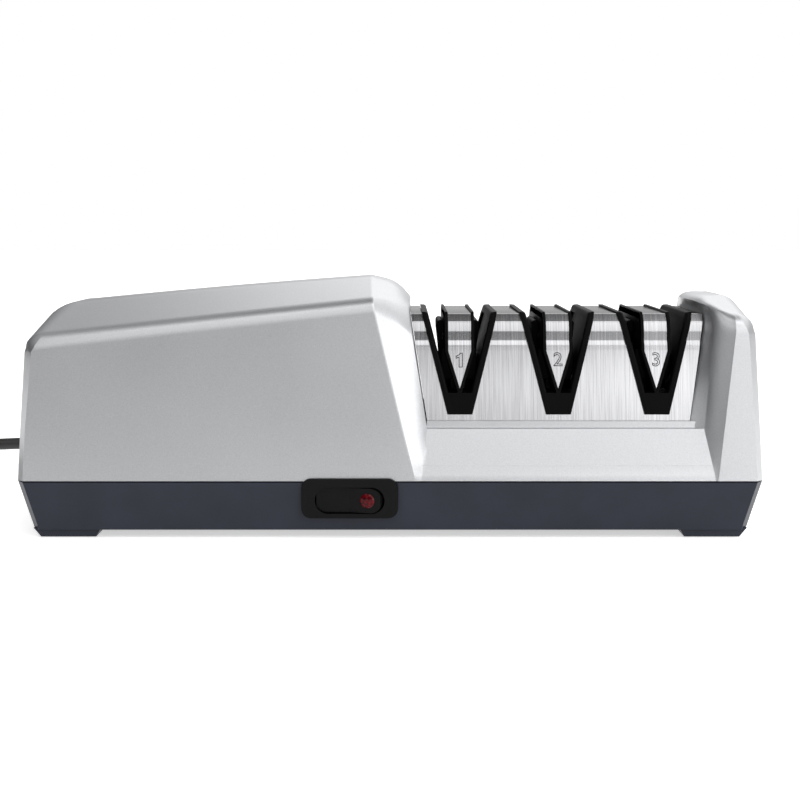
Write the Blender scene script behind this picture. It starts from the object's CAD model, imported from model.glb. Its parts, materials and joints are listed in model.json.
# %% [markdown]
# # A three-stage electric knife sharpener
# A long silver-grey body holds a motor at its left end. At its right end a spindle turns three pairs of
# grinding discs under a brushed steel cover, and a blade is drawn through a V slot over each pair.
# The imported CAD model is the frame: this lesson dresses it, piece by piece, in the same place and size.

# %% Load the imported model
import bpy
import bmesh
import json
import math
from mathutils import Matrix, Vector


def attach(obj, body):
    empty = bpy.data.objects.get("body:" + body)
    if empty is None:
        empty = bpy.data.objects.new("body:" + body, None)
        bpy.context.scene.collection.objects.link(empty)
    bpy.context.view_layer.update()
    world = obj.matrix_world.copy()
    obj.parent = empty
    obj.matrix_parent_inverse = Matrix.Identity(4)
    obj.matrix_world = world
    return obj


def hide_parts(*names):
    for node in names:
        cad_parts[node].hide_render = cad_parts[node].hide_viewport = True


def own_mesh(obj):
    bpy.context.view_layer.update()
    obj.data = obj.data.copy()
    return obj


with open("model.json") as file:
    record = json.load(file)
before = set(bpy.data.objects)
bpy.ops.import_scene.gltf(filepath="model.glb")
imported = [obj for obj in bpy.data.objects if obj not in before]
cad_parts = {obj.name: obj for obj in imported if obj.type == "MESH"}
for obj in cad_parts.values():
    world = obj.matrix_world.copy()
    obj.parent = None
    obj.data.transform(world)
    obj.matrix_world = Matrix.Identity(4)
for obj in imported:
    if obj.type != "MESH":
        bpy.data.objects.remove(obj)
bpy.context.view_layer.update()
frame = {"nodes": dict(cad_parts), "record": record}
nodes = frame["nodes"]
scene = bpy.context.scene
MM = 0.001

# %% [markdown]
# ## Camera
# The photograph is taken from the front, a little above the roof, from about half a metre away. A lens of
# 58 mm on a 36 mm sensor at that distance gives the same converging lines.

# %% The camera
camera_data = bpy.data.cameras.new("camera")
camera_data.lens = 58.05
camera_data.sensor_width = 36
camera = bpy.data.objects.new("camera", camera_data)
camera.location = (0.004, -0.560, 0.128)
camera.rotation_euler = (math.radians(90 - 7.9), 0, 0)
scene.collection.objects.link(camera)
scene.camera = camera
scene.view_settings.view_transform = "Standard"

# %% [markdown]
# ## Mains lead
# The lead is a round PVC cable. A curve with a round bevel is the natural tool: its points are the middle of
# the lead, so its length can be read off directly. It leaves the sleeve at the back, runs beside the
# body's end, lies in a coil that is put away behind the view, and ends in the plug.

# %% Route of the lead
LEAD_D = 6
EXIT = (-128, 75.8, 14)
LEAD = [(-128, 80, 14), (-128.6, 86, 14), (-131, 92, 13.9), (-135, 97.4, 13.8), (-140.4, 102, 13.6),
        (-147, 105.2, 13.4), (-154, 106.8, 13.2), (-162, 107.4, 13), (-172, 107.6, 12.8), (-184, 107.6, 12.6),
        (-196, 107.5, 12.4), (-206, 107.4, 12), (-214, 107.2, 11.2), (-222, 107, 9.8), (-230, 106.8, 8),
        (-238, 106.7, 6), (-245, 106.6, 4.6), (-250, 106.6, 4)]
TAIL = [(-303.2, 46, 9), (-303.6, 39, 6.8), (-304, 32, 4.6), (-304.2, 25, 3.6), (-304.2, 18, 3.6),
        (-304, 11, 4.6), (-304, 5, 6), (-304, 0, 7), (-304, -6, 7.4), (-304, -12, 7.4)]
COIL_MIDDLE = (-262, 66)
COIL_R, COIL_TURNS, TURN_PITCH, COIL_Z = 26.5, 4.25, 6.6, 3.9
RINGS_PER_TURN = 24


def coil_point(turn):
    """The turns spiral in on the table, step up, and spiral out on top of themselves."""
    from_middle = turn - COIL_TURNS / 2
    radius = COIL_R + TURN_PITCH * math.sqrt(from_middle ** 2 + 0.002)
    step = min(1, max(0, from_middle * 2 + 0.5))
    angle = math.radians(90 + 360 * turn)
    return (COIL_MIDDLE[0] + radius * math.cos(angle), COIL_MIDDLE[1] + radius * math.sin(angle),
            COIL_Z + TURN_PITCH * step * step * (3 - 2 * step))


coil = [coil_point(i / RINGS_PER_TURN) for i in range(int(COIL_TURNS * RINGS_PER_TURN) + 1)]
first, last = coil[0], coil[-1]
lead_points = ([EXIT] + LEAD + [(first[0] + LEAD_D, first[1], first[2])] + coil
               + [(last[0], last[1] - LEAD_D, last[2])] + TAIL)

# %% The lead itself
lead_curve = bpy.data.curves.new("mains_lead", "CURVE")
lead_curve.dimensions = "3D"
lead_curve.bevel_depth = 1
lead_curve.bevel_resolution = 5
lead_spline = lead_curve.splines.new("POLY")
lead_spline.points.add(len(lead_points) - 1)
for point, place in zip(lead_spline.points, lead_points):
    point.co = (place[0] * MM, place[1] * MM, place[2] * MM, 1)
    point.radius = LEAD_D / 2 * MM
lead_spline.use_smooth = True
lead = bpy.data.objects.new("mains_lead", lead_curve)
scene.collection.objects.link(lead)
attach(lead, "body")
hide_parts("cord_lead", "cord_coil", "cord_tail")

# %% [markdown]
# ## Colours and nodes
# A colour picked from a picture is sRGB, and a shader works in linear light. One function turns the one
# into the other, and one function adds a node, sets its values and joins its inputs.

# %% Two helpers for materials
def linear(hex_colour, alpha=1.0):
    """Linear RGBA from an sRGB hex colour."""
    parts = [int(hex_colour[i:i + 2], 16) / 255 for i in (1, 3, 5)]
    return tuple(c / 12.92 if c <= 0.04045 else ((c + 0.055) / 1.055) ** 2.4 for c in parts) + (alpha,)


def add(material, kind, values=(), joins=()):
    """Adds a node. values are (name, value) of a setting or an input, joins are (input, output socket)."""
    node = material.node_tree.nodes.new(kind)
    for name, value in dict(values).items():
        if isinstance(name, str) and hasattr(node, name):
            setattr(node, name, value)
        else:
            node.inputs[name].default_value = value
    for name, socket in dict(joins).items():
        material.node_tree.links.new(socket, node.inputs[name])
    return node


def new_material(name):
    """An empty node material with its output node."""
    material = bpy.data.materials.new(name)
    material.use_nodes = True
    material.node_tree.nodes.clear()
    return material


def finish_material(material, shader):
    """Joins the shader to the output."""
    add(material, "ShaderNodeOutputMaterial", joins={"Surface": shader.outputs[0]})
    return material


# %% [markdown]
# ## Moulded plastics
# Every plastic piece comes out of a steel mould, and its finish is the mould's: sparked for a satin skin,
# polished for a shiny one. Fine grain in the bump gives the satin its soft highlight, and a broader,
# fainter noise varies roughness and shade a little, as wear and handling do.

# %% A plastic from its colour, roughness and grain
def moulded(name, colour, shade, roughness, grain_mm, depth_mm, mirror=0.5):
    """colour and shade are the two ends of its slight variation, grain_mm is the size of the mould's texture,
    mirror is how strongly its skin reflects: 0.5 is a clean plastic, less is a dull or oiled one."""
    material = new_material(name)
    place = add(material, "ShaderNodeTexCoord").outputs["Object"]
    broad = add(material, "ShaderNodeTexNoise", {"Scale": 1 / (18 * MM), "Detail": 3.0}, {"Vector": place})
    grain = add(material, "ShaderNodeTexNoise", {"Scale": 1 / (grain_mm * MM), "Detail": 2.0}, {"Vector": place})
    tint = add(material, "ShaderNodeValToRGB", joins={"Fac": broad.outputs[0]})
    tint.color_ramp.elements[0].position, tint.color_ramp.elements[1].position = 0.3, 0.7
    tint.color_ramp.elements[0].color, tint.color_ramp.elements[1].color = linear(shade), linear(colour)
    rough = add(material, "ShaderNodeMapRange", {"To Min": roughness - 0.03, "To Max": roughness + 0.03},
                {"Value": broad.outputs[0]})
    bump = add(material, "ShaderNodeBump", {"Strength": 0.5, "Distance": depth_mm * MM},
               {"Height": grain.outputs[0]})
    shader = add(material, "ShaderNodeBsdfPrincipled", {"IOR": 1.53, "Specular IOR Level": mirror},
                 {"Base Color": tint.outputs[0], "Roughness": rough.outputs[0], "Normal": bump.outputs[0]})
    return finish_material(material, shader)


PLASTICS = {
    "base_plastic": ("slate ABS, satin moulded", "#2A2D38", "#252831", 0.38, 0.5, 0.02, 0.19),  # broad soft sheen
    "guide_plastic": ("black nylon, satin mould", "#080808", "#060606", 0.45, 0.6, 0.01, 0.04),  # dull, oily
    "switch_plastic": ("black ABS, satin switch", "#0F0F10", "#0B0B0C", 0.34, 0.4, 0.015, 0.08),  # a bit shinier
    "foot_rubber": ("black rubber, moulded foot", "#1C1C1C", "#161616", 0.75, 0.5, 0.03),  # matt, no highlight
    "inner_plastic": ("grey nylon, glass filled", "#4C4D50", "#444548", 0.5, 0.5, 0.03),  # mottled
    "fan_plastic": ("white nylon, fan", "#D8D6CC", "#CCCAC0", 0.4, 0.5, 0.01),  # warm white, slightly shiny
    "terminal_plastic": ("ivory polyamide, terminal", "#D9D2BA", "#CEC7AE", 0.42, 0.4, 0.01),  # ivory, plain
    "coupling_rubber": ("black rubber, coupling", "#1A1A1A", "#141414", 0.7, 0.5, 0.03),  # matt black
    "wire_plastic": ("brown PVC, wire skin", "#5A3826", "#4E2F1F", 0.4, 0.4, 0.01),  # brown, shiny skin
    "cord_rubber": ("black PVC, lead sheath", "#191919", "#121212", 0.42, 0.5, 0.01),  # long soft highlight
    "plug_plastic": ("black PVC, moulded plug", "#1B1B1B", "#141414", 0.5, 0.5, 0.02),  # duller than the lead
}
materials = {slot: moulded(*finish) for slot, finish in PLASTICS.items()}
print("plastics", len(materials))

# %% [markdown]
# ## Silver housing
# The housing is ABS sprayed with silver paint. Fine aluminium flakes in the paint catch the light, so it
# shades more strongly than plain plastic does: partly metallic, fairly rough, with a faint satin coat. Real
# flakes measure a few hundredths of a millimetre, and are drawn at 0.45 mm so that they show as a fine grain.

# %% Sprayed silver
silver = new_material("ABS, sprayed with satin silver paint")
place = add(silver, "ShaderNodeTexCoord").outputs["Object"]
flakes = add(silver, "ShaderNodeTexNoise", {"Scale": 1 / (0.45 * MM), "Detail": 3.0}, {"Vector": place})
cloud = add(silver, "ShaderNodeTexNoise", {"Scale": 1 / (40 * MM), "Detail": 2.0}, {"Vector": place})
tint = add(silver, "ShaderNodeValToRGB", joins={"Fac": flakes.outputs[0]})
tint.color_ramp.elements[0].position, tint.color_ramp.elements[1].position = 0.3, 0.7
tint.color_ramp.elements[0].color, tint.color_ramp.elements[1].color = linear("#B4B5B7"), linear("#C0C1C3")
rough = add(silver, "ShaderNodeMapRange", {"To Min": 0.31, "To Max": 0.37}, {"Value": cloud.outputs[0]})
bump = add(silver, "ShaderNodeBump", {"Strength": 0.35, "Distance": 0.01 * MM}, {"Height": flakes.outputs[0]})
shader = add(silver, "ShaderNodeBsdfPrincipled", {"Metallic": 0.85, "Coat Weight": 0.1, "Coat Roughness": 0.3},
             {"Base Color": tint.outputs[0], "Roughness": rough.outputs[0], "Normal": bump.outputs[0]})
materials["housing_plastic"] = finish_material(silver, shader)

# %% [markdown]
# ## Metals
# A metal's colour is the colour of its reflection. What tells one from another is the tint and how the
# surface was made: drawn wire, turned shaft, stamped sheet. Long thin noise along one direction draws the
# marks of the tool, and rolled or cast skin gets round noise.

# %% A metal from its tint, roughness and marks
def metal(name, colour, shade, roughness, mark_mm, stretch=(1, 1, 1), depth_mm=0.004):
    """stretch divides the pattern's frequency along X, Y and Z: a large number draws long marks that way."""
    material = new_material(name)
    place = add(material, "ShaderNodeTexCoord").outputs["Object"]
    scaled = add(material, "ShaderNodeMapping", {"Scale": [1 / s for s in stretch]}, {"Vector": place})
    marks = add(material, "ShaderNodeTexNoise", {"Scale": 1 / (mark_mm * MM), "Detail": 3.0},
                {"Vector": scaled.outputs[0]})
    tint = add(material, "ShaderNodeValToRGB", joins={"Fac": marks.outputs[0]})
    tint.color_ramp.elements[0].position, tint.color_ramp.elements[1].position = 0.3, 0.7
    tint.color_ramp.elements[0].color, tint.color_ramp.elements[1].color = linear(shade), linear(colour)
    rough = add(material, "ShaderNodeMapRange", {"To Min": roughness * 0.8, "To Max": roughness * 1.2},
                {"Value": marks.outputs[0]})
    bump = add(material, "ShaderNodeBump", {"Strength": 0.4, "Distance": depth_mm * MM},
               {"Height": marks.outputs[0]})
    shader = add(material, "ShaderNodeBsdfPrincipled", {"Metallic": 1.0},
                 {"Base Color": tint.outputs[0], "Roughness": rough.outputs[0], "Normal": bump.outputs[0]})
    return finish_material(material, shader)


# Real brush lines are about 0.05 mm apart, and the sheet's are drawn at 0.35 mm, so that they show in the picture.
METALS = {
    "cover_steel": ("stainless steel, brushed sheet", "#B6B6B8", "#9C9C9E", 0.2, 0.35, (1, 60, 60)),
    "machine_steel": ("steel, ground bar", "#BDBDBF", "#A6A6A8", 0.24, 0.4, (1, 30, 30)),
    "spring_steel": ("spring steel, drawn wire", "#8F9092", "#77787A", 0.3, 0.4),
    "screw_steel": ("steel, zinc plated", "#B9BCC0", "#A2A6AB", 0.28, 0.5),
    "bush_bronze": ("bronze, sintered", "#B08A56", "#94703F", 0.42, 0.5),
    "motor_iron": ("silicon steel, stacked laminations", "#7C7D80", "#5C5D60", 0.42, 0.5, (0.6, 40, 40)),
    "coil_copper": ("copper, enamelled wire", "#B4602F", "#8E4520", 0.3, 0.5, (30, 30, 0.7)),
    "bracket_alloy": ("zinc alloy, die cast", "#A4A6A8", "#8C8E90", 0.45, 0.8),
    "contact_brass": ("brass, stamped", "#C9A24E", "#AC8638", 0.3, 0.5),
    "pin_nickel": ("brass, nickel plated", "#CFCBC2", "#BDB9B0", 0.18, 0.5),
    "disc_abrasive": ("steel, diamond plated", "#565553", "#403F3D", 0.55, 0.25),
}
materials.update({slot: metal(*finish) for slot, finish in METALS.items()})

# %% [markdown]
# ## Brushed sheet and etched marks
# Brushing leaves fine parallel scratches, so the sheet mirrors sharply along them and softly across them, and
# draws each bright thing out into a streak. An anisotropic highlight does that with one tangent and no
# picture. The stage numbers are etched: the acid leaves a dull, dark skin.

# %% The brushed sheet and the etched marks
sheet = materials["cover_steel"].node_tree.nodes
sheet_shader = next(node for node in sheet if node.type == "BSDF_PRINCIPLED")
sheet_shader.inputs["Anisotropic"].default_value = 0.95
sheet_shader.inputs["Anisotropic Rotation"].default_value = 0.25
sheet_shader.inputs["Specular Tint"].default_value = linear("#B4B4B4")
grain_way = add(materials["cover_steel"], "ShaderNodeTangent", {"direction_type": "RADIAL", "axis": "X"})
materials["cover_steel"].node_tree.links.new(grain_way.outputs[0], sheet_shader.inputs["Tangent"])
materials["etched_mark"] = moulded("steel, etched dark", "#343537", "#2A2B2D", 0.6, 0.3, 0.005, 0.2)
print("materials", len(materials))

# %% [markdown]
# ## Red lens
# The lamp's lens is clear red polycarbonate with small facets inside, which break the light into cells. Cells
# of about 1 mm in the colour give that depth, and a smooth skin gives the small bright highlight.

# %% Red lens
lens_red = new_material("polycarbonate, clear red lens")
place = add(lens_red, "ShaderNodeTexCoord").outputs["Object"]
facets = add(lens_red, "ShaderNodeTexVoronoi", {"Scale": 1 / (1.1 * MM)}, {"Vector": place})
tint = add(lens_red, "ShaderNodeValToRGB", joins={"Fac": facets.outputs["Distance"]})
tint.color_ramp.elements[0].color, tint.color_ramp.elements[1].color = linear("#6A0A14"), linear("#240307")
shader = add(lens_red, "ShaderNodeBsdfPrincipled",
             {"Roughness": 0.1, "IOR": 1.58, "Specular IOR Level": 0.12},
             {"Base Color": tint.outputs[0]})
materials["lens_plastic"] = finish_material(lens_red, shader)

# %% Every CAD node takes its material
slots = {row["node"]: row["material_slot"] for row in frame["record"]["subparts"]}
print("nodes with a slot:", len(slots))
for name, node in nodes.items():
    node.data.materials.clear()
    node.data.materials.append(materials[slots[name]])
lead.data.materials.append(materials["cord_rubber"])

# %% [markdown]
# ## Housing: one loft from rails
# The housing is one moulding: a motor end with a sloping roof, a flared nose beside the slots, a sill in front
# and behind, and a pillar at the sharpening end. It could be sculpted or cut from blocks, but its faces
# are long, slightly curved and meet in soft creases, which a loft draws exactly: hoops run from the front seam
# over the roof to the back seam, all with the same number of points, and neighbours are joined by faces.
# Points crowd together where the real part has a small radius.

# %% Sizes of the housing, in millimetres
HALF_L, HALF_D, SEAM_Z, LEDGE_Z, RIM_Z = 151.3, 50, 24.2, 44.2, 26.7
STEEL_X0, STEEL_X1, STEEL_TOP, STEEL_LEAN = 8.2, 129.8, 90, 0.152
FRONT_LEAN, END_LEAN = math.tan(math.radians(6.5)), math.tan(math.radians(3))
STEPS = (2, 8, 12, 12, 8, 10, 5)        # faces between one anchor of a hoop and the next


def front_y(z):
    """Half the depth of the housing at height z."""
    return HALF_D - FRONT_LEAN * (z - SEAM_Z)


def end_x(z):
    """Distance of an end wall from the middle at height z."""
    return HALF_L - END_LEAN * (z - SEAM_Z)


def between(a, b, t):
    """The point at share t of the way from a to b."""
    return tuple(p + (q - p) * t for p, q in zip(a, b))


def arc(before, corner, after, radius, count):
    """Points of the round that replaces a corner, from one tangent point to the other."""
    u, v = Vector(before) - Vector(corner), Vector(after) - Vector(corner)
    u.normalize()
    v.normalize()
    half = u.angle(v) / 2
    middle = Vector(corner) + (u + v).normalized() * (radius / math.sin(half))
    start, end = Vector(corner) + u * (radius / math.tan(half)), Vector(corner) + v * (radius / math.tan(half))
    a, b = start - middle, end - middle
    turn = a.angle(b)
    return [tuple(middle + (a * math.sin((1 - t) * turn) + b * math.sin(t * turn)) / math.sin(turn))
            for t in (i / count for i in range(count + 1))]


def hoop_section(shoulder_z, shoulder_r, crown_y, crown_z, crown_r):
    """Half a hoop, from the seam to the middle of the roof, as (y, z) with y the distance from the middle."""
    low, corner = (front_y(SEAM_Z), SEAM_Z), (front_y(shoulder_z), shoulder_z)
    crown, top = (crown_y, crown_z), (0, crown_z)
    shoulder = arc(low, corner, crown, shoulder_r, STEPS[3])
    turn = arc(corner, crown, top, crown_r, STEPS[5])
    marks = [low, (front_y(RIM_Z), RIM_Z), (front_y(LEDGE_Z), LEDGE_Z), shoulder[0]]
    points = []
    for a, b, count in zip(marks, marks[1:], STEPS):
        points += [between(a, b, i / count) for i in range(count)]
    points += shoulder[:-1]
    points += [between(shoulder[-1], turn[0], i / STEPS[4]) for i in range(STEPS[4])]
    points += turn[:-1]
    points += [between(turn[-1], top, i / STEPS[6]) for i in range(STEPS[6] + 1)]
    return points


ANCHORS = [sum(STEPS[:i]) for i in range(len(STEPS) + 1)]
COUNT = ANCHORS[-1] + 1


def spread(values):
    """A value for every point of a hoop from one value for each of its anchors."""
    out = []
    for a, b, count in zip(values, values[1:], STEPS):
        out += [a + (b - a) * i / count for i in range(count)]
    return out + [values[-1]]


def smooth_rail(marks):
    """A rail through one (x, y, z) for each anchor, curved where its neighbours turn."""
    out = []
    for i, count in enumerate(STEPS):
        p0, p1, p2, p3 = marks[max(i - 1, 0)], marks[i], marks[i + 1], marks[min(i + 2, len(marks) - 1)]
        d = math.dist(p1, p2)
        m1 = [(b - a) * d / max(1e-6, math.dist(p0, p2)) for a, b in zip(p0, p2)]
        m2 = [(b - a) * d / max(1e-6, math.dist(p1, p3)) for a, b in zip(p1, p3)]
        if i < 3:
            m1 = m2 = [b - a for a, b in zip(p1, p2)]
        for k in range(count):
            t = k / count
            h = (2 * t ** 3 - 3 * t ** 2 + 1, t ** 3 - 2 * t ** 2 + t, -2 * t ** 3 + 3 * t ** 2, t ** 3 - t ** 2)
            out.append(tuple(h[0] * a + h[1] * b + h[2] * c + h[3] * e for a, b, c, e in zip(p1, m1, p2, m2)))
    return out + [marks[-1]]


# %% The rounded end of a hoop family
def end_hoops(side, section_at, reach, sink):
    """Hoops that turn the roof and the corner into the end wall. side is -1 for the left end, 1 for the right.
    reach and sink are how far the turn reaches along X and how deep it sinks, at each anchor."""
    reach, sink = spread(reach), spread(sink)
    hoops = []
    stages = [0, 0.05, 0.12, 0.2, 0.3, 0.4, 0.5, 0.6, 0.7, 0.8, 0.88, 0.95, 1]
    for t in stages:
        hoop = []
        for j in range(COUNT):
            x = side * (end_x(60) - reach[j])
            for _ in range(3):
                y, z = section_at(x)[j]
                x = side * (end_x(z) - reach[j])
            a, b = section_at(x)[max(j - 1, 0)], section_at(x)[min(j + 1, COUNT - 1)]
            along = Vector((b[0] - a[0], b[1] - a[1])).normalized()
            out = Vector((-along.y, along.x)) * -1
            round_share = min(1, max(0, (j - ANCHORS[3]) / (STEPS[3] * 0.8)))
            forward = round_share * math.sin(t * math.pi / 2) + (1 - round_share) * t
            inward = round_share * (1 - math.cos(t * math.pi / 2)) + (1 - round_share) * t
            y, z = y - out.x * sink[j] * inward, z - out.y * sink[j] * inward
            hoop.append((side * (end_x(z) - reach[j] * (1 - forward)), max(y, 0), z))
        hoops.append(hoop)
    return hoops


# %% Motor end: section, crease and flare
def motor_section(x):
    """The section rises from the left end to the nose; t and rise go from about 0 to 1 along it."""
    t = (x + 135) / 127.6
    rise = (x + 129.7) / 122.3
    crown_z = 94.5 + 10.3 * rise + 0.5 * math.sin(math.pi * min(1, max(0, rise)))
    return hoop_section(82.4 + 14.2 * t, 9 - t, 11.9 - 1.4 * t, crown_z, 22 - 10 * t)


MOTOR_REACH, MOTOR_SINK = (3.3, 3.3, 3.3, 4.4, 10, 15, 18, 18), (5, 5, 5, 6, 8, 14, 14.4, 14.4)
motor_hoops = end_hoops(-1, motor_section, MOTOR_REACH, MOTOR_SINK)[::-1]
start = motor_hoops[-1]


def nose_crease(z):
    """Where along X the motor end stops and the flare starts, at height z."""
    return 10.2 - 0.2413 * (z - SEAM_Z) if z < 94 else -6.64 - (z - 94) * 0.12


crease = []
for j in range(COUNT):
    x = -7.0
    for _ in range(3):
        y, z = motor_section(x)[j]
        x = nose_crease(z)
    crease.append((x, y, z))
STATIONS = [i / 24 for i in range(1, 24)] + [0.975, 0.987, 0.994]
for s in STATIONS:
    hoop = []
    for j in range(COUNT):
        x = start[j][0] + s * (crease[j][0] - start[j][0])
        hoop.append((x,) + motor_section(x)[j])
    motor_hoops.append(hoop)
motor_hoops.append(crease)


def left_wall(z):
    """X of the wall at the left of the steel, at height z."""
    return STEEL_X0 + (STEEL_TOP - z) * STEEL_LEAN


nose_edge = smooth_rail([(12.6, 49.9, SEAM_Z), (13.0, 49.2, RIM_Z), (15.0, 40.0, 43.8),
                         (left_wall(82) - 0.6, 36.4, 82), (left_wall(91) - 0.4, 29.4, 92.0),
                         (8.0, 17, 94.8), (8.5, 9, 95.4), (8.6, 0, 95.6)])


def flare_hoops(outer, edge, bulge_x, bulge_y, bulge_z):
    """Hoops from the crease to the arch beside the steel. The bulges, one for each anchor, keep it full."""
    hoops = []
    bulges = list(zip(spread(bulge_x), spread(bulge_y), spread(bulge_z)))
    for w in (0.03, 0.07, 0.13, 0.2, 0.3, 0.4, 0.5, 0.6, 0.7, 0.8, 0.87, 0.93):
        lift = math.sin(math.pi * w ** 1.25)
        hoops.append([tuple(c + lift * b for c, b in zip(between(o, e, w), bulge))
                      for o, e, bulge in zip(outer, edge, bulges)])
    hoops.append(edge)
    return hoops


motor_hoops += flare_hoops(crease, nose_edge, (0, 0, 0.3, 0.5, 0.6, 0.3, 0.3, 0.3), (0, 0, 0.3, 0.5, 0.6, 0.3, 0, 0),
                           (0, 0, 0, 0, 0.8, 2.2, 2.4, 2.4))
print("motor hoops", len(motor_hoops), "points in a half hoop", COUNT)

# %% Pillar: section, crease and arch
def pillar_section(x):
    """The pillar has the same section at every x."""
    return hoop_section(89.3, 9.2, 13.5, 97.3, 14)


PILLAR_REACH, PILLAR_SINK = (3.3, 3.3, 3.3, 4.0, 8, 9, 9, 9), (5, 5, 5, 5.5, 8, 9, 9, 9)
pillar_hoops = end_hoops(1, pillar_section, PILLAR_REACH, PILLAR_SINK)[::-1]
start = pillar_hoops[-1]
pillar_crease = []
for j, (y, z) in enumerate(pillar_section(140)):
    x = 132.3 + 0.113 * (z - SEAM_Z)
    if j > ANCHORS[3]:
        x -= 1.2 * min(1, (j - ANCHORS[3]) / (STEPS[3] + STEPS[4]))
    pillar_crease.append((x, y, z))
for s in (0.2, 0.4, 0.6, 0.8, 0.9, 0.96):
    pillar_hoops.append([between(a, b, s) for a, b in zip(start, pillar_crease)])
pillar_hoops.append(pillar_crease)


def right_wall(z):
    """X of the wall at the right of the steel, at height z."""
    return STEEL_X1 - (STEEL_TOP - z) * STEEL_LEAN


pillar_edge = smooth_rail([(131.2, 49.9, SEAM_Z), (130.9, 49.2, RIM_Z), (128.2, 40.0, 43.8), (131.4, 36.2, 80.5),
                           (131.0, 31.2, 91.8), (128.8, 20, 94.3), (127.3, 9, 94.9), (126.8, 0, 95.1)])
pillar_hoops += flare_hoops(pillar_crease, pillar_edge, (0, 0, 0, -0.3, -0.8, -1.2, -1.2, -1.2),
                            (0, 0, 0.4, 0.8, 1.0, 0.5, 0, 0), (0, 0, 0, 0, 0.8, 1.2, 1.2, 1.2))
print("pillar hoops", len(pillar_hoops))

# %% Walls beside the steel, and the sill
def wall_hoops(edge, wall_x):
    """Hoops that turn the arch's edge into the wall beside the steel, down to just under the sheet."""
    inner = smooth_rail([(0, 46, SEAM_Z), (0, 45, RIM_Z), (0, 37.4, 43.8), (0, 27.9, 81), (0, 25.5, 86.6),
                         (0, 16, 88.6), (0, 9, 88.6), (0, 0, 88.6)])
    inner = [(wall_x(z), y, z) for _, y, z in inner]
    hoops = []
    for w in (0.06, 0.14, 0.3, 0.6, 1):
        hoops.append([between(e, i, w) for e, i in zip(edge, inner)])
    return hoops


nose_wall = wall_hoops(nose_edge, left_wall)
pillar_wall = wall_hoops(pillar_edge, right_wall)
SILL_ROWS = ANCHORS[2]


# from the sill's top edge up the plinth that the steel stands on, and in under the steel
PLINTH = [(39.85, 44.0), (39.6, 44.1), (39.0, 44.15), (38.35, 44.25), (38.1, 44.55), (37.8, 46.4), (37.65, 46.7),
          (37.3, 46.85), (36, 46.85), (34, 46.85)]


def sill_rows():
    """Rows of the sill from the seam to the ledge under the steel, each with its two ends on the flares."""
    rows = [(nose_edge[j], pillar_edge[j]) for j in range(SILL_ROWS + 1)]
    x0, x1 = nose_edge[SILL_ROWS][0], pillar_edge[SILL_ROWS][0]
    for y, z in PLINTH:
        rows.append(((x0, y, z), (x1, y, z)))
    return rows


# %% Join the hoops
def full(hoop):
    """A whole hoop: the front half, then its mirror image at the back. Front is -Y."""
    front = [(x, -y, z) for x, y, z in hoop]
    return front + [(x, y, z) for x, y, z in hoop[-2::-1]]


def skin(grid, flip=False):
    """Points and faces of a grid of rows."""
    points = [p for row in grid for p in row]
    width = len(grid[0])
    faces = []
    for i in range(len(grid) - 1):
        for j in range(width - 1):
            a = i * width + j
            face = (a, a + 1, a + width + 1, a + width)
            faces.append(face[::-1] if flip else face)
    return points, faces


def mesh_piece(name, parts, slot, smooth_angle=38, merge_mm=0.02):
    """One object from several grids: same places merge, faces point outwards, shading breaks at sharp edges."""
    mesh = bpy.data.meshes.new(name)
    shape = bmesh.new()
    for points, faces in parts:
        made = [shape.verts.new([c * MM for c in p]) for p in points]
        for face in faces:
            corners = [made[k] for k in face]
            if len({tuple(round(c, 7) for c in v.co) for v in corners}) > 2:
                try:
                    shape.faces.new(corners)
                except ValueError:
                    pass
    bmesh.ops.remove_doubles(shape, verts=shape.verts, dist=merge_mm * MM)
    bmesh.ops.recalc_face_normals(shape, faces=shape.faces)
    shape.to_mesh(mesh)
    shape.free()
    mesh.shade_smooth()
    mesh.set_sharp_from_angle(angle=math.radians(smooth_angle))
    piece = bpy.data.objects.new(name, mesh)
    scene.collection.objects.link(piece)
    mesh.materials.append(materials[slot])
    print(name, "points", len(mesh.vertices), "faces", len(mesh.polygons))
    return piece


def end_cap(hoop):
    """Strips across the flat of an end wall, from the front half of its hoop to the back half."""
    rows = [((x, -y, z), (x, -y / 3, z), (x, y / 3, z), (x, y, z)) for x, y, z in hoop]
    return skin(rows)


LIP = 2.4
parts = []
for hoops, wall in ((motor_hoops, nose_wall), (pillar_hoops, pillar_wall)):
    parts.append(skin([full(h) for h in hoops]))
    parts.append(end_cap(hoops[0]))
    upper = [h[SILL_ROWS:] for h in [hoops[-1]] + wall]
    parts.append(skin([full(h) for h in upper]))
rows = sill_rows()
ACROSS = [0, 0.01, 0.03, 0.07] + [0.1 * i for i in range(1, 10)] + [0.93, 0.97, 0.99, 1]
for sign in (-1, 1):
    parts.append(skin([[(x, sign * y, z) for x, y, z in (between(a, b, t) for t in ACROSS)] for a, b in rows]))
# the mould's wall, turned in at the seam
rim = [h[0] for h in motor_hoops] + [between(rows[0][0], rows[0][1], t) for t in ACROSS] \
    + [h[0] for h in pillar_hoops[::-1]]
for sign in (-1, 1):
    inside = [(x - math.copysign(min(LIP, max(0, abs(x) - HALF_L + 6)), x), sign * (y - LIP), z) for x, y, z in rim]
    parts.append(skin([[(x, sign * y, z) for x, y, z in rim], inside,
                       [(x, y, z + 6) for x, y, z in inside]]))
housing = mesh_piece("housing_shell", parts, "housing_plastic")
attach(housing, "body")
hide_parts("upper_housing")
weighted = housing.modifiers.new("even shading", "WEIGHTED_NORMAL")
weighted.keep_sharp = True
weighted.weight = 60

# %% [markdown]
# ## Steel cover and the caps of the stages
# The cover is one stainless sheet, 1 mm thick, pressed over soft bends and then brushed, so its bends are round
# and every one mirrors a different strip of the room. The sheet's outer face is a grid of rows along its
# profile; a solidify modifier gives the thickness, and a fine bevel gives the cut edges their thin bright line.

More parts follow.
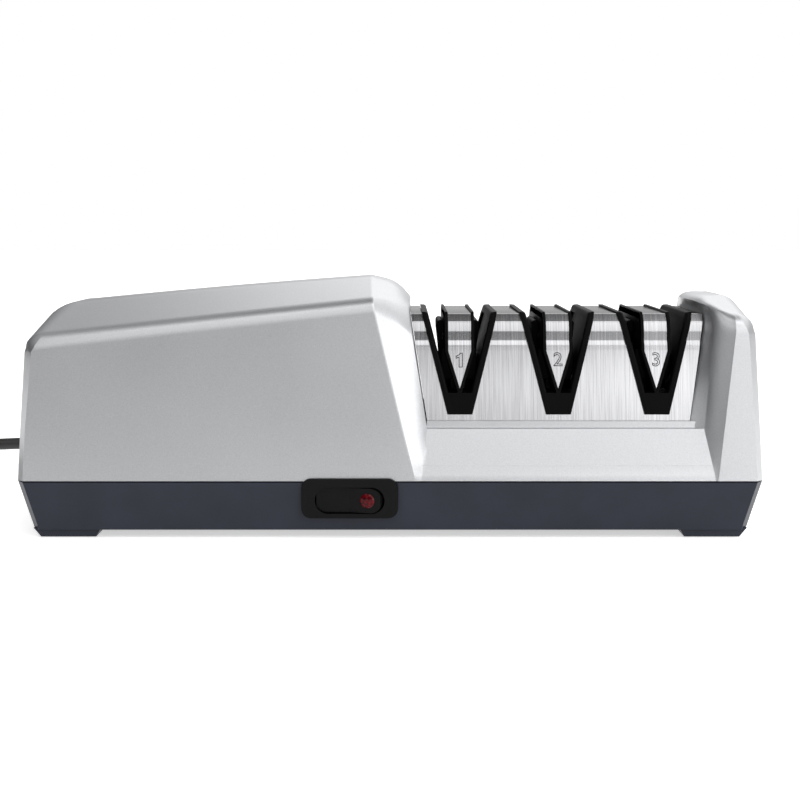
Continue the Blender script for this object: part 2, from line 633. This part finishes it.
# %% Profile of the sheet
SHEET = [(0, 90), (24.5, 90), (27.6, 86.8), (28.95, 83.0), (29.4, 79.2), (30.6, 77.4), (30.72, 76.6), (30.95, 76.1),
         (37, 46.9)]
BENDS = [1.6, 1.4, 1.6, 0.7, 0.5, 0.3, 0.3]        # radius of each bend
V_FOOT, V_FOOT_Z, V_TOP = 5, 49.5, 15.4
V_SLOPE = (V_TOP - V_FOOT) / (STEEL_TOP - V_FOOT_Z)
MIDDLE_STAGE, STAGE_PITCH = 69, 40.4
STAGES = [MIDDLE_STAGE - STAGE_PITCH, MIDDLE_STAGE, MIDDLE_STAGE + STAGE_PITCH]
KINK_Z, WEDGE_W, TIP_Z, LIP_W = 75, 5, 58.9, 1


def rounded(points, radii, count=6):
    """The line with a round of its own radius at each inner corner."""
    out = [points[0]]
    for before, corner, after, radius in zip(points, points[1:], points[2:], radii):
        out += arc(before, corner, after, radius, count)
    return out + [points[-1]]


def with_rows(line, heights):
    """The line with a point more at each of these heights."""
    out = [line[0]]
    for (y0, z0), (y1, z1) in zip(line, line[1:]):
        inside = sorted((h for h in heights if z1 < h < z0), reverse=True)
        out += [between((y0, z0), (y1, z1), (z0 - h) / (z0 - z1)) for h in inside] + [(y1, z1)]
    return out


def v_half(z):
    """Half the width of a V cut-out at height z."""
    return V_FOOT + (z - V_FOOT_Z) * V_SLOPE


def wedge_half(z, width=WEDGE_W):
    """Half the width of the wedge between the two slots of a stage."""
    return width if z > KINK_Z else width - (KINK_Z - z) * WEDGE_W / (KINK_Z - TIP_Z)


profile = with_rows(rounded(SHEET, BENDS), [V_FOOT_Z, TIP_Z, KINK_Z])
# from the front foot over the top to the back foot: (y, z)
over = [(-y, z) for y, z in profile[::-1]] + profile[1:]
print("rows of the sheet:", len(over))


# %% A sheet of steel from its rows
def steel_sheet(name, rows, gaps, node):
    """rows holds the x marks of every profile row, gaps says which spans stay open at a height."""
    mesh = bpy.data.meshes.new(name)
    shape = bmesh.new()
    made = [[shape.verts.new((x * MM, y * MM, z * MM)) for x in marks] for (y, z), marks in rows]
    for (near, low), (far, high) in zip(zip(rows, made), zip(rows[1:], made[1:])):
        for k in range(len(low) - 1):
            if not gaps(k, min(near[0][1], far[0][1])):
                shape.faces.new((low[k], low[k + 1], high[k + 1], high[k]))
    bmesh.ops.remove_doubles(shape, verts=shape.verts, dist=0.001 * MM)
    bmesh.ops.delete(shape, geom=[v for v in shape.verts if not v.link_faces], context="VERTS")
    bmesh.ops.dissolve_degenerate(shape, edges=shape.edges, dist=0.001 * MM)
    shape.to_mesh(mesh)
    shape.free()
    mesh.shade_smooth()
    mesh.set_sharp_from_angle(angle=math.radians(50))
    mesh.materials.append(materials["cover_steel"])
    piece = bpy.data.objects.new(name, mesh)
    scene.collection.objects.link(piece)
    thick = piece.modifiers.new("sheet thickness", "SOLIDIFY")
    thick.thickness, thick.offset, thick.use_even_offset = 1.0 * MM, -1, True
    edge = piece.modifiers.new("broken edges", "BEVEL")
    edge.width, edge.segments, edge.limit_method, edge.angle_limit = 0.12 * MM, 2, "ANGLE", math.radians(60)
    edge.harden_normals = True
    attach(piece, "body")
    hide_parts(node)
    print(name, "faces", len(mesh.polygons))
    return piece


WALL_GAP, V_GAP = 0.35, 0.15
cover_rows = []
for y, z in over:
    half = v_half(max(z, V_FOOT_Z)) + V_GAP
    marks = [left_wall(z) + WALL_GAP] + [c + s * half for c in STAGES for s in (-1, 1)] + [right_wall(z) - WALL_GAP]
    cover_rows.append(((y, z), marks))
steel_sheet("steel_cover_sheet", cover_rows, lambda k, z: k % 2 == 1 and z >= V_FOOT_Z - 0.001, "steel_cover")

CAP_GAP = 0.15
for number, middle in enumerate(STAGES, 1):
    rows = [((y, z), [middle - w, middle, middle + w]) for y, z in over if z >= TIP_Z - 0.01
            for w in [max(0.03, wedge_half(z) - CAP_GAP)]]
    steel_sheet(f"stage_{number}_steel", rows, lambda k, z: False, f"stage_{number}_cap")

# %% [markdown]
# ## Numbers of the stages
# Each cap carries its stage's number as a thin etched outline, so a user knows which slot comes first. A text
# curve with no fill and a hair-thin bevel draws just the outline, laid into the sloping front of the sheet.

# %% Etched outlines
NUMBER_HIGH, NUMBER_Z, LINE_R = 5.7, 71.3, 0.19
(upper_y, upper_z), (lower_y, lower_z) = SHEET[-2:]
face_y = upper_y + (upper_z - NUMBER_Z) / (upper_z - lower_z) * (lower_y - upper_y)
face_lean = math.atan2(lower_y - upper_y, upper_z - lower_z)
ONE = [(-0.3, -2.85), (1.05, -2.85), (1.05, 2.85), (0.1, 2.85), (-0.2, 2.2), (-1.5, 1.6), (-1.5, 0.8), (-0.3, 1.2)]


def number_outline(number):
    """The outline of a number. The font's own 1 is a bare bar, so that one is drawn by its corners."""
    name = f"stage_{number}_number"
    if number > 1:
        text = bpy.data.curves.new(name, "FONT")
        text.body, text.align_x, text.align_y = str(number), "CENTER", "CENTER"
        text.size = NUMBER_HIGH / 0.73 * MM
    else:
        text = bpy.data.curves.new(name, "CURVE")
        text.dimensions = "2D"
        line = text.splines.new("POLY")
        line.points.add(len(ONE) - 1)
        for point, (x, y) in zip(line.points, ONE):
            point.co = (x * MM, y * MM, 0, 1)
        line.use_cyclic_u = True
    text.fill_mode, text.resolution_u = "NONE", 6
    text.bevel_depth, text.bevel_resolution = LINE_R * MM, 1
    return text


for number, middle in enumerate(STAGES, 1):
    text = number_outline(number)
    mark = bpy.data.objects.new(f"stage_{number}_number", text)
    mark.location = (middle * MM, -(face_y - LINE_R * 0.2) * MM, NUMBER_Z * MM)
    mark.rotation_euler = (math.pi / 2 - face_lean, 0, 0)
    scene.collection.objects.link(mark)
    text.materials.append(materials["etched_mark"])
    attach(mark, "body")
bpy.context.view_layer.update()
print("number size, mm:", [round(d / MM, 2) for d in mark.dimensions])

# %% [markdown]
# ## Black lips and fingers
# Each slot is lined by black nylon. Its lip stands a little out of the steel and is rounded over, so light runs
# along it as a thin line. A bead follows the sheet's profile and tops the CAD guide and core, whose walls
# stay as they are below it.

# %% A rounded bead along the edge of a slot
# its section: how far it stands out of the sheet, and the share of its width from the outer edge
BEAD_HIGH = 0.72
BEAD = [(-2.2, 0), (0.1, 0), (0.38, 0.06), (0.6, 0.2), (0.7, 0.45), (BEAD_HIGH, 0.62), (0.64, 0.8), (0.4, 0.94),
        (0, 1), (-2.2, 1)]


def bead(line, width, low_z, side, middle):
    """line gives the outer edge's distance from the stage's middle at each height; the bead lies inside it."""
    path = [(y, z) for y, z in over if z >= low_z]
    grid = []
    for i, (y, z) in enumerate(path):
        (ya, za), (yb, zb) = path[max(i - 1, 0)], path[min(i + 1, len(path) - 1)]
        way = Vector((yb - ya, zb - za)).normalized()
        out = Vector((-way.y, way.x))
        row = []
        for lift, share in BEAD:
            py, pz = y + out.x * lift, z + out.y * lift
            row.append((middle + side * (line(max(pz, low_z)) - share * width), py, pz))
        grid.append(row)
    ends = [([tuple(p) for p in row], [tuple(range(len(row)))]) for row in (grid[0], grid[-1])]
    closed = [row + [row[0]] for row in grid]
    return [skin(closed)] + ends


GUIDE_LIP, CORE_LIP = 2.5, 1.3          # widths of the two beads
for number, middle in enumerate(STAGES, 1):
    parts = []
    for side in (-1, 1):
        parts += bead(v_half, GUIDE_LIP, V_FOOT_Z - 0.9, side, middle)
    lips = mesh_piece(f"stage_{number}_lips", parts, "guide_plastic", 45)
    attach(lips, "body")
    parts = []
    for side in (-1, 1):
        parts += bead(lambda z: wedge_half(z, WEDGE_W + LIP_W), CORE_LIP, TIP_Z - 0.4, side, middle)
    rims = mesh_piece(f"stage_{number}_core_rims", parts, "guide_plastic", 45)
    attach(rims, "body")

# %% Springy fingers
PILL_X, PILL_Z, PILL_R, FINGER_Y = 7.5, 84.9, 1.45, 12
pill = [(PILL_X + PILL_R * math.cos(math.radians(a)), PILL_Z + PILL_R * math.sin(math.radians(a)))
        for a in range(0, 181, 15)]
# down the core's side with its slit, round the foot above the disc, along the leaf, and up the outer side
FINGER = pill + [(6.05, 81.3), (6.7, 80.9), (6.65, 77.1), (6.05, 76.4), (6.03, 75), (4.15, 68.8), (6.5, 68.6),
                 (6.45, 63.3), (6.95, 62.9), (7.65, 66.5), (7.75, 71.4), (8.25, 76.5), (8.9, 82)]
# skirts in front of the discs and behind them close the slot below the fingers
SKIRT = [(6.03, 75), (4.15, 68.8), (2.3, 62.7), (6.3, 62.2), (7.2, 66.5), (7.5, 71.4), (7.0, 75)]
SKIRT_Y = (22.6, 24.2)


def plank(outline, y0, y1, side, middle):
    """Faces of an outline in XZ drawn out from y0 to y1."""
    ring = [[(middle + side * x, y, z) for x, z in outline + outline[:1]] for y in (y0, y1)]
    return [skin(ring)] + [(row[:-1], [tuple(range(len(row) - 1))]) for row in ring]


for number, middle in enumerate(STAGES, 1):
    parts = []
    for side in (-1, 1):
        parts += plank(FINGER, -FINGER_Y, FINGER_Y, side, middle)
        parts += plank(SKIRT, -SKIRT_Y[1], -SKIRT_Y[0], side, middle) + plank(SKIRT, *SKIRT_Y, side, middle)
    fingers = mesh_piece(f"stage_{number}_leaf_fingers", parts, "guide_plastic", 30)
    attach(fingers, "body")
    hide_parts(f"stage_{number}_fingers")
    soft = fingers.modifiers.new("moulded edges", "BEVEL")
    soft.width, soft.segments, soft.limit_method, soft.angle_limit = 0.3 * MM, 3, "ANGLE", math.radians(35)

# %% [markdown]
# ## Springs between the discs
# A coil spring of drawn wire sits on the shaft in each stage and pushes its two discs apart. A blade pushes a
# disc back, and the coils on that side close up. A ring of points carried along the helix makes the wire.

# %% Half a spring for each disc
SPRING_Z, SPRING_R, WIRE_R, HALF_L, HALF_TURNS, TRAVEL = 46, 4.6, 0.45, 2.95, 2, 1.2
WIRE_STEPS, WIRE_SIDES = 56, 10


def spring_hoops(middle, side):
    """Rings of points round the wire, from the middle of the spring to its end."""
    turn = 2 * math.pi * HALF_TURNS
    hoops = []
    for step in range(WIRE_STEPS + 1):
        angle = side * turn * step / WIRE_STEPS
        out = Vector((0, math.cos(angle), math.sin(angle)))
        centre = Vector((middle + side * HALF_L * step / WIRE_STEPS, 0, SPRING_Z)) + SPRING_R * out
        along = Vector((HALF_L / turn, -SPRING_R * math.sin(angle), SPRING_R * math.cos(angle))).normalized()
        across = along.cross(out)
        ring = [2 * math.pi * k / WIRE_SIDES for k in range(WIRE_SIDES + 1)]
        hoops.append([tuple(centre + WIRE_R * (math.cos(a) * out + math.sin(a) * across)) for a in ring])
    return hoops


for number, middle in enumerate(STAGES, 1):
    for side, word in ((-1, "left"), (1, "right")):
        hoops = spring_hoops(middle, side)
        ends = [(row[:-1], [tuple(range(len(row) - 1))]) for row in (hoops[0], hoops[-1])]
        half = mesh_piece(f"stage_{number}_spring_{word}", [skin(hoops)] + ends, "spring_steel", 60)
        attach(half, "spindle")
        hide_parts(f"stage_{number}_disc_spring")
        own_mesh(half)

# %% [markdown]
# ## Edges of the other mouldings
# No moulded or turned edge is sharp. A bevel of a few tenths of a millimetre on the CAD nodes that show keeps
# their size and gives each edge the thin highlight that the eye expects.

# %% Bevels
EDGES = {"base_tray": 0.5, "rubber_feet": 0.4, "switch_body": 0.45, "rocker": 0.35, "lamp_lens": 0.12,
         "strain_relief": 0.4, "plug_body": 0.8, "plug_pins": 0.3, "cord_tie": 0.3}
for name, width in EDGES.items():
    soft = nodes[name].modifiers.new("moulded edges", "BEVEL")
    soft.width, soft.segments, soft.limit_method, soft.angle_limit = width * MM, 3, "ANGLE", math.radians(35)
    soft.use_clamp_overlap = True
    smooth = nodes[name].modifiers.new("even shading", "WEIGHTED_NORMAL")
    smooth.keep_sharp = True
print("bevelled nodes:", len(EDGES))

# %% [markdown]
# ## Floor and light
# A plain pale floor catches the object's shadow. To the camera, and in what the metal mirrors, it is white.
# A large soft lamp above and in front gives the even light of a product picture.

# %% Floor
floor_mesh = bpy.data.meshes.new("floor")
floor_mesh.from_pydata([(-4, -3, 0), (4, -3, 0), (4, 5, 0), (-4, 5, 0)], [], [(0, 1, 2, 3)])
floor = bpy.data.objects.new("floor", floor_mesh)
scene.collection.objects.link(floor)
paper = new_material("paper floor")
diffuse = add(paper, "ShaderNodeBsdfDiffuse", {"Color": linear("#F4F4F4")})
glow = add(paper, "ShaderNodeEmission", {"Color": linear("#FFFFFF"), "Strength": 0.55})
both = add(paper, "ShaderNodeAddShader", joins={0: diffuse.outputs[0], 1: glow.outputs[0]})
ray = add(paper, "ShaderNodeLightPath")
seen = add(paper, "ShaderNodeMath", {"operation": "MAXIMUM"},
           {0: ray.outputs["Is Camera Ray"], 1: ray.outputs["Is Glossy Ray"]})
seen = add(paper, "ShaderNodeMath", {"operation": "MAXIMUM"},
           {0: seen.outputs[0], 1: ray.outputs["Is Transmission Ray"]})
mixed = add(paper, "ShaderNodeMixShader", joins={0: seen.outputs[0], 1: diffuse.outputs[0], 2: both.outputs[0]})
finish_material(paper, mixed)
floor_mesh.materials.append(paper)

# %% [markdown]
# ## The studio around it
# Brushed steel and silver paint are seen mostly by what they mirror. The world is that surrounding: white
# behind the object, where the backdrop is, a pale ceiling in front, darker at the left and low in front,
# brighter at the right. The camera itself sees only white.

# %% World
world = bpy.data.worlds.new("studio")
scene.world = world
world.use_nodes = True
world.node_tree.nodes.clear()
direction = add(world, "ShaderNodeTexCoord").outputs["Generated"]
axes = add(world, "ShaderNodeSeparateXYZ", joins={0: direction})


def fade(values, value):
    """A smooth change of brightness: values are from_min, from_max, to_min, to_max."""
    names = ("From Min", "From Max", "To Min", "To Max")
    settings = [("interpolation_type", "SMOOTHSTEP")] + list(zip(names, values))
    return add(world, "ShaderNodeMapRange", settings, {"Value": value}).outputs[0]


def combine(operation, a, b):
    """Maths on two sockets or numbers. For MULTIPLY_ADD, b is both the factor and what is added."""
    joins = {0: a, 1: b, 2: b}
    values = [("operation", operation)] + [(k, v) for k, v in joins.items() if isinstance(v, (int, float))]
    return add(world, "ShaderNodeMath", values,
               {k: v for k, v in joins.items() if not isinstance(v, (int, float))}).outputs[0]


height, aside, away = axes.outputs[2], axes.outputs[0], axes.outputs[1]
PEAK = 2.2


def levels(stops, value):
    """Brightness from a list of (position, level), read along value."""
    node = add(world, "ShaderNodeValToRGB", joins={"Fac": value})
    ramp = node.color_ramp
    ramp.interpolation = "EASE"
    while len(ramp.elements) < len(stops):
        ramp.elements.new(0.5)
    for element, (position, level) in zip(ramp.elements, stops):
        element.position = position
        element.color = (level / PEAK,) * 3 + (1,)
    return combine("MULTIPLY", node.outputs[0], PEAK)


# by height, in front: dark table edge, a bright strip, a dimmer one, the soft box, the dark ceiling
front_light = levels([(0, 0.3), (0.08, 0.14), (0.14, 0.0), (0.195, 0.02), (0.225, 0.75), (0.262, 1.2),
                      (0.276, 1.8), (0.288, 1.5), (0.297, 0.85), (0.36, 0.75), (0.5, 1.3), (0.61, 1.8), (0.69, 0.7),
                      (0.78, 0.65), (0.9, 1.7), (0.965, 0.25), (1, 0.08)], height)
back_light = levels([(0, 0.5), (0.2, 0.55), (0.45, 1.15), (0.7, 1.35), (0.88, 0.7), (0.99, 0.12)], height)
is_back = fade((-0.15, 0.25, 0.0, 1.0), away)
# from left (0) to right (1): a bright panel stands in front at the right, and the back falls off to the left
across = combine("MULTIPLY_ADD", aside, 0.5)
front_side = levels([(0.1, 0.8), (0.42, 0.8), (0.5, 1.0), (0.56, 1.1), (0.64, 1.7), (0.73, 1.6), (0.8, 0.75),
                     (1, 0.65)], across)
back_side = levels([(0.1, 0.08), (0.36, 0.48), (0.44, 1.05), (0.5, 1.5), (0.7, 1.5), (1, 1.0)], across)
right_panel = combine("MULTIPLY", fade((0.16, 0.3, 0.0, 2.0), aside), fade((0.24, 0.34, 1.0, 0.1), height))
front_all = combine("ADD", combine("MULTIPLY", front_light, front_side), right_panel)
front_part = combine("MULTIPLY", front_all, combine("SUBTRACT", 1.0, is_back))
level = combine("ADD", front_part, combine("MULTIPLY", combine("MULTIPLY", back_light, back_side), is_back))
ray = add(world, "ShaderNodeLightPath")
strength = combine("ADD", combine("MULTIPLY", level, combine("SUBTRACT", 1.0, ray.outputs["Is Camera Ray"])),
                   ray.outputs["Is Camera Ray"])
sky = add(world, "ShaderNodeBackground", {"Color": linear("#FFFFFF")}, {"Strength": strength})
add(world, "ShaderNodeOutputWorld", joins={"Surface": sky.outputs[0]})

# %% Lamps
def lamp(name, size, power, place, aim=(0, 0, 0.05)):
    """A soft box that shines towards aim."""
    data = bpy.data.lights.new(name, "AREA")
    data.shape, data.size, data.size_y = "RECTANGLE", size[0], size[1]
    data.energy = power
    thing = bpy.data.objects.new(name, data)
    thing.location = place
    thing.rotation_euler = (Vector(aim) - Vector(place)).to_track_quat("-Z", "Y").to_euler()
    scene.collection.objects.link(thing)
    return thing


lamp("soft_box_front", (1.5, 0.55), 1.6, (0.15, -0.5, 1.0))
lamp("soft_box_right", (0.5, 0.6), 1.4, (1.0, -0.55, 0.35), (0.05, 0, 0.06))
